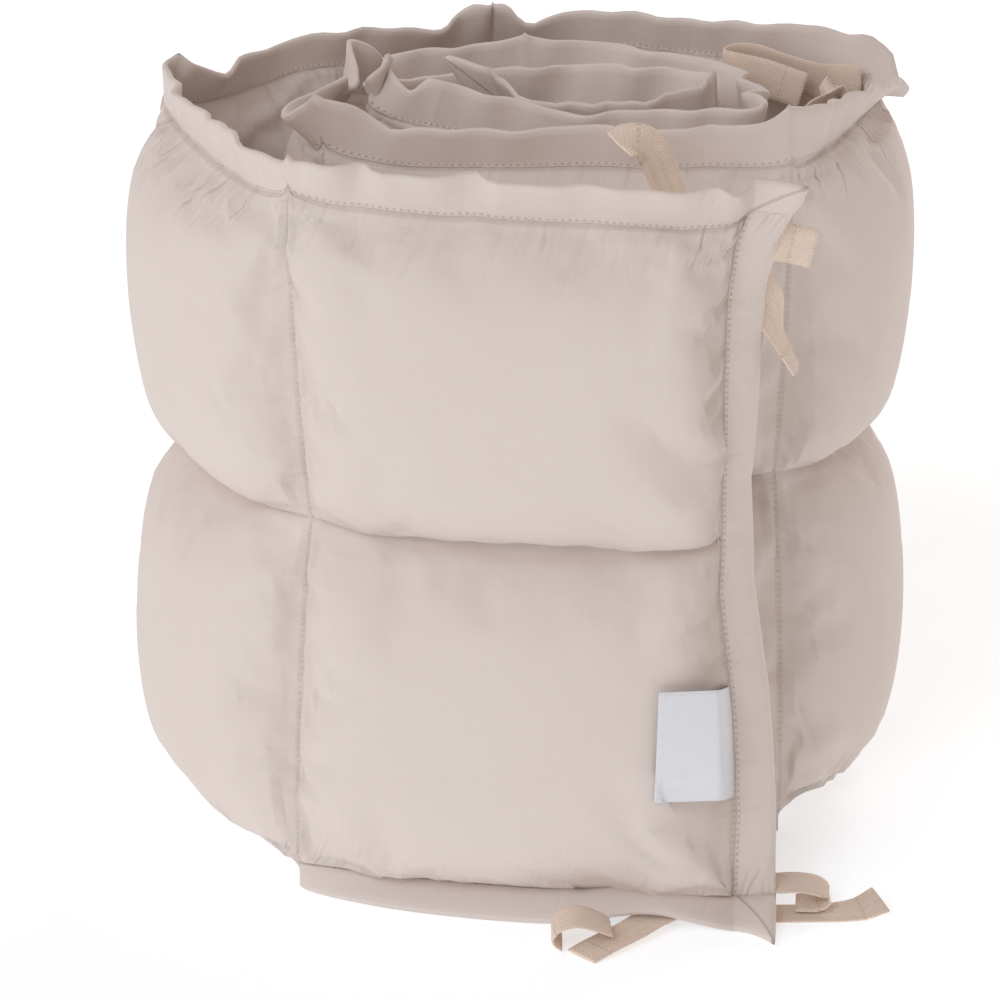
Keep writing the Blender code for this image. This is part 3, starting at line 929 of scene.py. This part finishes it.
    def lie(self, zone: Zone, share: float, at: Columns) -> tuple[Any, Any, Any, Any, float, Any]:
        """Say how one row lies at every column.

        Args:
            zone: the row's band.
            share: its place in the band from 0 to 1.
            at: the columns.

        Returns:
            Its shift outwards, slide along the cloth, height, tilt of the cloth, fill and sag.
        """
        still = 0.0 * at.lower
        if zone is Zone.FOOT:
            tilt = -0.5 * math.pi * at.spread
            hang = self.foot_stitch * share * (1.0 - 0.15 * np.abs(at.spread))
            height = 0.5 * self.cloth * np.abs(np.sin(tilt)) + hang + at.off_floor
            return at.foot * (1.0 - share), still, height, tilt, 0.0, 0.0
        if zone is Zone.TOP:
            reach = (self.flange + at.rise) * share
            height = self.foot_stitch + at.lower + at.upper + reach * np.cos(at.lean)
            return reach * np.sin(at.lean), at.slide * share, height, at.lean, 0.0, 0.0
        at_level = share > 0.5 if zone is Zone.LOWER else share < 0.5
        fill = float(bulge(share, self.level_fullness if at_level else self.outer_fullness))
        if zone is Zone.LOWER:
            sag = self.lower_sag + (self.sag - self.lower_sag) * max(0.0, 2.0 * share - 1.0) ** 1.5
            return 0.0, still, self.foot_stitch + at.lower * share, still, fill, sag
        height = self.foot_stitch + at.lower + at.upper * share
        return 0.0, still, height, still, fill, self.sag if at_level else self.sag * fill

    def face(self, side: Side, at: Columns, slack: float) -> np.ndarray:
        """Lay out one face of the strip.

        Args:
            side: which face.
            at: the columns.
            slack: share of the bulge to start with.

        Returns:
            Points by column, row and axis, in metres.
        """
        sign = side.value
        swell_by = at.outer if side is Side.OUTER else at.inner
        heights, pulls = zip(*self.end_pull)
        curl_heights, curls = zip(*self.end_curl)
        bent = np.where(at.past < 0.0, np.abs(at.past / self.flange) ** 1.4, 0.0)
        layers = []
        for zone, share in self.rows():
            shift, slide, height, tilt, fill, sag = self.lie(zone, share, at)
            swell = swell_by * fill * slack
            level = np.minimum(height, 2.0 * (self.foot_stitch + at.lower) - height)
            pull = np.maximum(0.0, level / (self.foot_stitch + at.lower)) ** 2
            tug = np.interp(height, heights, pulls)
            reach = shift + sign * (0.5 * self.cloth * np.cos(tilt) + swell)
            drop = sign * 0.5 * self.cloth * np.sin(tilt) + sag * swell_by * fill / self.sag_depth
            curl = np.interp(height, curl_heights, curls)
            narrowed = self.flange - np.sqrt(self.flange ** 2 - curl ** 2)
            reach = reach - bent * curl
            facing = at.rim_normal if zone in (Zone.FOOT, Zone.TOP) else at.normal
            plan = at.place + facing * reach[:, None] + at.drawn * pull[:, None]
            plan = plan + at.tugged * tug[:, None] + at.heading * (slide + bent * narrowed)[:, None]
            layers.append(np.column_stack((plan, height - drop)))
        points = np.stack(layers, axis=1)
        return (points - MIDDLE) * MM

    def close_crease(self, points: np.ndarray, side: Side, at: Columns) -> np.ndarray:
        """Keep the upper pillows above the lower ones where they press on each other.

        Args:
            points: one face by column, row and axis, in metres.
            side: which face.
            at: the columns.

        Returns:
            The face with its two chambers clear of each other.
        """
        plan = points / MM + MIDDLE
        base = at.place + at.drawn
        for j, (zone, _) in enumerate(self.rows()):
            if zone not in (Zone.LOWER, Zone.UPPER):
                continue
            out = np.einsum("ij,ij->i", plan[:, j, :2] - base, at.normal) * side.value - 0.5 * self.cloth
            meet = self.foot_stitch + at.lower - self.sag * np.maximum(0.0, out) / self.sag_depth
            if zone is Zone.UPPER:
                plan[:, j, 2] = np.maximum(plan[:, j, 2], meet + self.crease_gap)
            else:
                plan[:, j, 2] = np.minimum(plan[:, j, 2], meet - self.crease_gap)
        return (plan - MIDDLE) * MM

    def marks(self, at: Columns) -> np.ndarray:
        """Say where each column and row lies on the flat cloth, in metres, and how puckered it is there."""
        rise, height = [], 0.0
        bands = {
            Zone.FOOT: self.flange,
            Zone.LOWER: self.lower_cut,
            Zone.UPPER: self.upper_cut,
            Zone.TOP: self.flange,
        }
        starts = {}
        for zone, length in bands.items():
            starts[zone] = height
            height += length
        for zone, share in self.rows():
            rise.append(starts[zone] + bands[zone] * share)
        grid = np.zeros((len(at.run), len(rise), 3))
        grid[:, :, 0] = at.run[:, None]
        grid[:, :, 1] = np.array(rise)[None, :]
        grid *= MM
        turns, shares = zip(*self.puckers)
        grid[:, :, 2] = np.interp(at.turn, turns, shares)[:, None]
        return grid

    # ------------------------------------------------ making

    def build(self, finish: bpy.types.Material) -> bpy.types.Object:
        """Make the strip.

        Args:
            finish: its cotton.

        Returns:
            The finished piece.
        """
        at = self.columns()
        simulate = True
        slack = self.slack if simulate else 1.0
        faces = {side: self.face(side, at, slack) for side in Side}
        mesh = closed_cloth("quilted_strip", faces, self.marks(at), 0.9 * MM)
        made = link_piece("quilted_strip", mesh, finish)
        if simulate:
            self.swell(made, at)
        self.pieces.append(made)
        return made

    def grip(self, at: Columns) -> np.ndarray:
        """Say how firmly sewing holds each column and row: 1 on a stitch line and in the flange."""
        rows = self.rows()
        held = np.zeros((len(at.run), len(rows)))
        sewn_column = (at.past != 0.0) | (np.abs(at.turn - np.round(at.turn)) < 1e-6)
        held[sewn_column, :] = 1.0
        for j, (zone, share) in enumerate(rows):
            if zone in (Zone.FOOT, Zone.TOP) or share == 0.0:
                held[:, j] = 1.0
        return held

    def calm(self, at: Columns) -> np.ndarray:
        """Say how little spare cloth there is at each column and row, 1 for almost none."""
        share = at.turn - np.floor(at.turn)
        flat_front = np.where(at.turn < 1.0, np.clip(4.0 * np.minimum(share, 1.0 - share), 0.0, 0.9), 0.0)
        usual = self.usual_calm * np.clip(at.turn / self.free_end, 0.0, 1.0)
        flat_front = np.maximum(flat_front, usual)
        level = np.zeros(len(self.rows()))
        for j, (zone, share_up) in enumerate(self.rows()):
            if zone is Zone.LOWER:
                level[j] = max(0.0, 2.6 * share_up - 1.6)
            if zone is Zone.UPPER:
                level[j] = max(0.0, 1.0 - 2.6 * share_up)
        return np.maximum(flat_front[:, None], level[None, :])

    def swell(self, made: bpy.types.Object, at: Columns) -> None:
        """Blow up the filling under the cloth, held at every stitch line, and keep the result.

        Args:
            made: the strip.
            at: its columns.
        """
        held = self.grip(at).ravel()
        count = len(held)
        total = len(made.data.vertices)
        grip = np.ones(total)
        grip[:count] = held
        grip[count:2 * count] = held
        group = made.vertex_groups.new(name="sewn")
        group.add(np.nonzero(grip > 0.5)[0].tolist(), 1.0, "REPLACE")
        rest = np.empty(total * 3)
        made.data.vertices.foreach_get("co", rest)
        rest = rest.reshape(-1, 3)
        cloth = made.modifiers.new("filling", "CLOTH")
        give = cloth.settings
        give.vertex_group_mass = "sewn"
        for key, value in FILLING.items():
            setattr(give, key, value)
        calm = made.vertex_groups.new(name="calm")
        for index, weight in enumerate(self.calm(at).ravel()):
            calm.add([index, index + count], float(weight), "REPLACE")
        give.vertex_group_shrink = "calm"
        give.effector_weights.gravity = 0.0
        cloth.collision_settings.use_collision = False
        cloth.point_cache.frame_start = 1
        cloth.point_cache.frame_end = self.settle_frames
        for frame in range(1, self.settle_frames + 1):
            bpy.context.scene.frame_set(frame)
        result = made.evaluated_get(bpy.context.evaluated_depsgraph_get()).to_mesh()
        moved = np.empty(total * 3)
        result.vertices.foreach_get("co", moved)
        moved = moved.reshape(-1, 3)
        made.modifiers.remove(cloth)
        made.vertex_groups.clear()
        bpy.context.scene.frame_set(1)
        step = moved - rest
        far = np.linalg.norm(step, axis=1)
        cap = self.swell_cap * MM
        scale = np.where(far > 1e-9, cap * np.tanh(far / cap) / np.maximum(far, 1e-9), 1.0)
        LOG.info("swell: mean %.2f mm, most %.2f mm", 1000.0 * far.mean(), 1000.0 * far.max())
        final = rest + step * scale[:, None]
        for side, start in ((Side.OUTER, 0), (Side.INNER, count)):
            grid = final[start:start + count].reshape(len(at.run), -1, 3)
            final[start:start + count] = self.close_crease(grid, side, at).reshape(-1, 3)
        made.data.vertices.foreach_set("co", final.ravel())
        made.data.update()

    def dress(self) -> None:
        """Seat the strip in the frame."""
        for made in self.pieces:
            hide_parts(self.node)
            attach(made, ROOT)

    def place_on_face(
        self, panel: int, share: float, past: float, height: float, side: Side
    ) -> tuple[np.ndarray, np.ndarray]:
        """Find a point on the strip's face.

        Args:
            panel: the panel's number.
            share: place across the panel.
            past: distance beyond an end seam in millimetres.
            height: height above the floor in millimetres.
            side: which face.

        Returns:
            The point and the plan direction out of that face, in millimetres on the plan.
        """
        row = self.column(panel, share, past)
        at = self.gather([row])
        points = self.face(side, at, 1.0)[0] / MM + MIDDLE
        order = np.argsort(points[:, 2])
        spot = [float(np.interp(height, points[order, 2], points[order, k])) for k in (0, 1)]
        return np.array((*spot, height)), np.array((*(side.value * row["normal"]), 0.0))


# ---------------------------------------------------------------- tapes


@dataclass(frozen=True)
class Root:
    """Where a tape is sewn on: panel, share across it, distance past the seam, height and side."""

    panel: int
    share: float
    past: float
    height: float
    side: Side


@dataclass(frozen=True)
class TieTape:
    """One free tail of a tie tape.

    Each step gives the middle line and the direction of the width, in millimetres: measured from the root,
    or on the plan where there is none.
    """

    node: str
    hold: Hold
    root: Optional[Root]
    steps: tuple[tuple[float, ...], ...]
    width: float = 14.5
    thick: float = 1.1
    gap: float = 0.35
    station: float = 1.2
    across: int = 10
    cup: float = 0.5
    hem: float = 9.0
    hem_swell: float = 0.35
    smooth_steps: int = 24

    def route(self, strip: PaddedStrip) -> tuple[np.ndarray, np.ndarray, float]:
        """Lay the tape's middle line.

        Args:
            strip: the strip it is sewn to.

        Returns:
            Stations of the middle line, the width's direction at each, and the length of the run.
        """
        rows = np.array(self.steps, dtype=float)
        if self.root:
            root = self.root
            spot, out = strip.place_on_face(root.panel, root.share, root.past, root.height, root.side)
            rows[:, :3] += spot + out * (0.6 + self.gap)
        ends = (2.0 * rows[0] - rows[1], 2.0 * rows[-1] - rows[-2])
        padded = np.vstack((ends[0], rows, ends[1]))
        fine = []
        for i in range(len(rows) - 1):
            a, b, c, d = padded[i:i + 4]
            for t in np.linspace(0.0, 1.0, self.smooth_steps, endpoint=False):
                near = b + 0.5 * t * (c - a)
                bend = t * t * (a - 2.5 * b + 2.0 * c - 0.5 * d)
                turn = t ** 3 * 0.5 * (3.0 * b - a - 3.0 * c + d)
                fine.append(near + bend + turn)
        line = np.array(fine + [rows[-1]])
        spans = np.linalg.norm(np.diff(line[:, :3], axis=0), axis=1)
        run = np.concatenate(((0.0,), np.cumsum(spans)))
        count = max(6, round(run[-1] / self.station))
        marks = np.linspace(0.0, run[-1], count + 1)
        even = np.array([[np.interp(mark, run, line[:, k]) for k in range(6)] for mark in marks])
        return even[:, :3], even[:, 3:], float(run[-1])

    def build(self, strip: PaddedStrip, finish: bpy.types.Material) -> bpy.types.Object:
        """Make the tape.

        Args:
            strip: the strip it is sewn to.
            finish: its twill.

        Returns:
            The finished piece.
        """
        middle, widths, length = self.route(strip)
        heading = np.gradient(middle, axis=0)
        shares = np.linspace(-0.5, 0.5, self.across + 1)
        faces = {side: np.zeros((len(middle), len(shares), 3)) for side in Side}
        marks = np.zeros((len(middle), len(shares), 3))
        for i, (spot, ahead, width) in enumerate(zip(middle, heading, widths)):
            ahead = unit(ahead)
            width = unit(width - ahead * np.dot(width, ahead))
            thick = np.cross(ahead, width)
            left = length * (1.0 - i / (len(middle) - 1))
            doubled = self.thick * (1.0 + self.hem_swell * (1.0 if left < self.hem else 0.0))
            for j, share in enumerate(shares):
                edge = 1.0 - 0.45 * abs(2.0 * share) ** 8
                lift = self.cup * (0.25 - share * share)
                for side in Side:
                    offset = lift - side.value * 0.5 * doubled * edge
                    faces[side][i, j] = spot + width * self.width * share + thick * offset
                marks[i, j] = (length - left, self.width * (share + 0.5), left)
        scaled = {side: (grid - MIDDLE) * MM for side, grid in faces.items()}
        name = self.node.replace("tie", "tape")
        mesh = closed_cloth(name, scaled, marks * MM, 0.25 * MM)
        made = link_piece(name, mesh, finish)
        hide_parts(self.node)
        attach(made, ROOT)
        return made


TAPES = (
    TieTape("tie_top_over", Hold.FOLDED, Root(0, 0.155, 0.0, 268.0, Side.INNER), (
        (0, 0.5, -1, 0.9, 0.3, 0), (0, 4, 5, 0.8, 0.5, 0), (-1.5, 8, 11, 0.75, 0.6, 0),
        (-3.5, 11, 17, 0.74, 0.6, 0.15), (-6, 12, 23, 0.7, 0.6, 0.25), (-9, 12, 28.5, 0.6, 0.6, 0.4),
        (-12.5, 10, 32, 0.45, 0.7, 0.4), (-16.5, 8, 33.5, 0.2, 0.8, 0.4),
        (-20.5, 5, 33, 0.1, 0.85, 0.35)), cup=2.4),
    TieTape("tie_top_side", Hold.HUNG, Root(0, 0.0, -9.0, 267.0, Side.INNER), (
        (-3, 0.3, 1, 0.2, 0, 1), (0, 0.3, 0.5, 0.2, 0, 1), (5, 1.2, 0, 0.25, 0, 1), (12, 2.6, -1, 0.3, 0, 1),
        (20.5, 2.2, -3, 0.35, 0, 1)), cup=1.4),
    TieTape("tie_top_hang", Hold.HUNG, Root(0, 0.0, -8.0, 250.0, Side.INNER), (
        (-4, 2.0, 3, 0, 0, 1), (0, 3.6, 1, 0, 0, 1), (4, 6.0, -3, 0.25, 0.1, 1), (7.5, 8.0, -9, 0.4, 0.2, 1),
        (10, 9, -16, 0.3, 0.6, 0.8), (12.3, 9.3, -22.5, 0.2, 1, 0.4), (15.5, 9, -29, 0.12, 1, 0.2),
        (18.8, 8.8, -35, 0.1, 1, 0.1)), cup=1.8),
    TieTape("tie_back_long", Hold.HUNG, Root(3, 0.965, 0.0, 272.0, Side.INNER), (
        (3, -3.2, 1, 0, 0, 1), (-5, -0.4, 1, 0, 0, 1), (-14, 2, 1, 0, -0.1, 1), (-27, 6, 4, 0, -0.2, 1),
        (-38, 9, 7, 0, -0.2, 1), (-46, 9, 7, 0, -0.1, 1), (-50.5, 5, 6, 0, 0, 1), (-46, 1, 5, 0, 0.1, 1),
        (-35, -1, 3, 0, 0.1, 1), (-20, -6, -1, 0, 0.1, 1))),
    TieTape("tie_back_loop", Hold.HUNG, Root(4, 0.10, 0.0, 270.0, Side.INNER), (
        (-3.3, 3.4, 1.5, 0.3, 1, 0), (-6.8, 1.3, 2, 0.4, 1, 0), (-10, -3, 2, 0.6, 1, 0),
        (-17, -7, -3, 0.8, 1, 0), (-22, -11, -13, 0.8, 1, 0), (-24, -13, -27, 0.8, 1, 0),
        (-24, -13, -43, 0.8, 1, 0))),
    TieTape("tie_foot_left", Hold.LAID, None, (
        (54, -96, 4.3, -0.68, 0.73, 0), (48, -102, 4.2, -0.68, 0.73, 0), (41, -109, 3.2, -0.68, 0.73, 0),
        (34, -115.5, 2.6, -0.68, 0.73, 0), (28, -120.7, 1.8, -0.68, 0.73, 0),
        (23, -125.3, 0.9, -0.68, 0.73, 0))),
    TieTape("tie_foot_left_loop", Hold.LAID, None, (
        (34, -111.2, 5.9, 0, 1, 0), (28, -112, 9, 0, 1, 0.1), (21, -112.4, 11, 0, 1, 0.15),
        (14.5, -113, 9, 0, 1, 0.15), (12.2, -113, 5.2, 0, 1, 0.1), (13.5, -113, 2, 0, 1, 0),
        (15.5, -113, 0.8, 0, 1, 0))),
    TieTape("tie_foot_right", Hold.LAID, None, (
        (91, -88.9, 0.75, 0, 1, 0), (100, -88.9, 0.75, 0, 1, 0), (112, -88.4, 0.75, -0.1, 1, 0),
        (122, -88.4, 1.4, -0.2, 1, 0.05), (130, -87.6, 2.6, -0.3, 1, 0.15), (137, -85.2, 5, -0.35, 1, 0.3))),
    TieTape("tie_foot_right_loop", Hold.LAID, None, (
        (91, -81, 9.3, 0, 1, 0.05), (99, -81, 9.8, 0, 1, 0.1), (107, -81, 10, 0, 1, 0.1),
        (114, -82, 8.6, 0, 1, 0.12), (117, -83, 5.6, 0, 1, 0.1), (113, -83.5, 3.1, 0, 1, 0.05),
        (105, -83, 2.5, 0, 1, 0))),
)


# ---------------------------------------------------------------- label


@dataclass(frozen=True)
class BareLabel:
    """The sewn-in label, with nothing on it."""

    node: str = "label"
    width: float = 31.0
    height: float = 44.0
    foot: float = 59.0
    inset: float = 0.2
    gap: float = 0.4
    thick: float = 0.9
    search: float = 30.0
    slant: float = 0.012
    droop: float = 2.0
    skew: float = 0.37
    tilt: float = 2.0
    tucked_steps: int = 6
    wide_steps: int = 30
    high_steps: int = 30

    def span(self, lifts: np.ndarray) -> np.ndarray:
        """Bridge the cloth below as stiff label cloth does, and tuck the sewn edge down to its seam.

        Args:
            lifts: how far out the cloth below stands, by column from the seam and by row.

        Returns:
            The label's own height at each point.
        """
        wide, high = lifts.shape
        across, up = np.meshgrid(np.linspace(0.0, 1.0, wide), np.linspace(0.0, 1.0, high), indexing="ij")
        terms = np.stack((np.ones_like(up), across, up, across * across, up * up), axis=-1)
        free = slice(self.tucked_steps, None)
        known = terms[free].reshape(-1, 5)
        factors = np.linalg.lstsq(known, lifts[free].ravel(), rcond=None)[0]
        even = (terms.reshape(-1, 5) @ factors).reshape(wide, high)
        even += np.quantile(lifts[free] - even[free], 0.9)
        top = even[-1:, :] - self.droop * (1.0 - across) ** 1.5
        even = np.maximum(np.maximum(even, top), lifts)
        for i in range(self.tucked_steps):
            share = math.sin(0.5 * math.pi * i / self.tucked_steps)
            even[i] = lifts[i] + (even[self.tucked_steps] - lifts[i]) * share
        return even

    def build(
        self, strip: PaddedStrip, filled: bpy.types.Object, finish: bpy.types.Material
    ) -> bpy.types.Object:
        """Make the label.

        Args:
            strip: the strip it is sewn to.
            filled: the strip's finished piece, on which the label lies.
            finish: its cloth.

        Returns:
            The finished piece.
        """
        graph = bpy.context.evaluated_depsgraph_get()
        skin = BVHTree.FromObject(filled, graph)
        start, end = strip.seams[0], strip.seams[1]
        panel = math.hypot(end.x - start.x, end.y - start.y)
        shares = np.linspace(self.inset / panel, (self.inset + self.width) / panel, self.wide_steps + 1)
        heights = np.linspace(self.foot, self.foot + self.height, self.high_steps + 1)
        faces = {side: np.zeros((len(shares), len(heights), 3)) for side in Side}
        marks = np.zeros((len(shares), len(heights), 3))
        spots = np.zeros((len(shares), len(heights), 3))
        outs = np.zeros_like(spots)
        lifts = np.zeros((len(shares), len(heights)))
        for i, share in enumerate(shares):
            for j, height in enumerate(heights):
                slant = self.slant * (float(height) - self.foot) / self.height
                spot, out = strip.place_on_face(0, float(share) - slant, 0.0, float(height), Side.OUTER)
                far = Vector((spot + out * self.search - MIDDLE) * MM)
                _, _, _, depth = skin.ray_cast(far, Vector(-out))
                spots[i, j], outs[i, j] = spot, out
                lifts[i, j] = self.search - (depth / MM if depth is not None else self.search)
                marks[i, j] = (self.width * i / self.wide_steps, self.height * j / self.high_steps, 0.0)
        stand = spots @ outs[-1, 0]
        reached = self.span(stand + lifts)
        level = reached - stand
        spots[:, :, 2] -= self.skew * np.maximum(0.0, reached[-1:, :] - reached)
        spots[:, :, 2] += self.tilt * (0.5 - np.linspace(0.0, 1.0, len(shares)))[:, None]
        for side in Side:
            reach = level + self.gap + self.thick * (0.5 + 0.5 * side.value)
            faces[side] = spots + outs * reach[:, :, None]
        scaled = {side: (grid - MIDDLE) * MM for side, grid in faces.items()}
        made = link_piece("bare_label", closed_cloth("bare_label", scaled, marks * MM, 0.3 * MM), finish)
        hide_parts(self.node)
        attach(made, ROOT)
        return made


# ---------------------------------------------------------------- studio


@dataclass
class Studio:
    """The floor, the lights and the camera."""

    target: tuple[float, float, float] = (-0.00091, -0.02114, 0.14)
    elevation: float = 21.0
    distance: float = 1.9
    lens: float = 177.16
    shift: tuple[float, float] = (-0.020, -0.013)
    floor_size: float = 12.0
    room_colour: tuple[float, float, float] = (1.0, 0.89, 0.81)
    room_light: float = 0.48

    def lay_floor(self, finish: bpy.types.Material) -> None:
        """Lay the floor, which fills the whole picture."""
        bpy.ops.object.select_all(action="DESELECT")
        bpy.ops.mesh.primitive_plane_add(size=self.floor_size, location=(0.0, 0.0, 0.0))
        floor = bpy.context.object
        floor.name = "floor"
        floor.data.materials.append(finish)

    def light(
        self, name: str, towards: Sequence[float], strength: float, spread: float, colour: Sequence[float]
    ) -> None:
        """Shine one broad, far lamp on the roll.

        Args:
            name: the lamp's name.
            towards: direction from the roll to the lamp.
            strength: its light on a face turned to it, in watts a square metre.
            spread: how wide it looks from the roll, in degrees.
            colour: its colour.
        """
        bpy.ops.object.light_add(type="SUN", location=Vector(towards) * 2.0)
        lamp = bpy.context.object
        lamp.name = name
        lamp.data.energy = strength
        lamp.data.angle = math.radians(spread)
        lamp.data.color = colour
        lamp.rotation_mode = "QUATERNION"
        lamp.rotation_quaternion = Vector(towards).to_track_quat("Z", "Y")

    def set_lights(self) -> None:
        """Hang the lamps and fill the room with even, slightly warm light."""
        self.light("key", (-0.38, -0.68, 0.62), 0.78, 34.0, (0.82, 0.93, 1.04))
        self.light("left", (-0.92, -0.20, 0.33), 0.50, 50.0, (0.96, 0.99, 1.02))
        self.light("back", (0.45, 0.82, 0.33), 0.95, 40.0, (1.0, 1.0, 1.0))
        world = bpy.data.worlds.new("room")
        world.use_nodes = True
        world.node_tree.nodes["Background"].inputs["Color"].default_value = (*self.room_colour, 1.0)
        world.node_tree.nodes["Background"].inputs["Strength"].default_value = self.room_light
        bpy.context.scene.world = world
        bpy.context.scene.view_settings.view_transform = "Standard"

    def set_camera(self) -> None:
        """Stand the camera at the photograph's angle."""
        angle = math.radians(self.elevation)
        back = Vector((0.0, -math.cos(angle), math.sin(angle)))
        bpy.ops.object.camera_add(location=Vector(self.target) + back * self.distance)
        camera = bpy.context.object
        camera.name = "photo_camera"
        camera.rotation_mode = "QUATERNION"
        camera.rotation_quaternion = (-back).to_track_quat("-Z", "Y")
        camera.data.sensor_width = 36.0
        camera.data.lens = self.lens
        camera.data.shift_x, camera.data.shift_y = self.shift
        camera.data.clip_start = 0.05
        camera.data.clip_end = 60.0
        bpy.context.scene.camera = camera


def main() -> None:
    """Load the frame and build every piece."""
    logging.basicConfig(level=logging.INFO, format="%(name)s: %(message)s")
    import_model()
    strip = PaddedStrip()
    seam_line = strip.flange * MM
    cotton = QuiltedCotton().make(
        panel=strip.panel_cut * MM,
        rims=(seam_line, (strip.flange + strip.lower_cut + strip.upper_cut) * MM),
        level=(strip.flange + strip.lower_cut) * MM,
        ends=(0.0, strip.panel_cut * MM * (len(strip.seams) - 1)),
    )
    made = strip.build(cotton)
    strip.dress()
    LOG.info("%s: %d faces", made.name, len(made.data.polygons))
    twill = HerringboneTape().make()
    for tape in TAPES:
        piece = tape.build(strip, twill)
        LOG.info("%s: %d faces", piece.name, len(piece.data.polygons))
    label = BareLabel().build(strip, made, LabelCloth().make())
    LOG.info("%s: %d faces", label.name, len(label.data.polygons))
    studio = Studio()
    studio.lay_floor(PaleFloor().make())
    studio.set_lights()
    studio.set_camera()


if __name__ == "__main__":
    main()
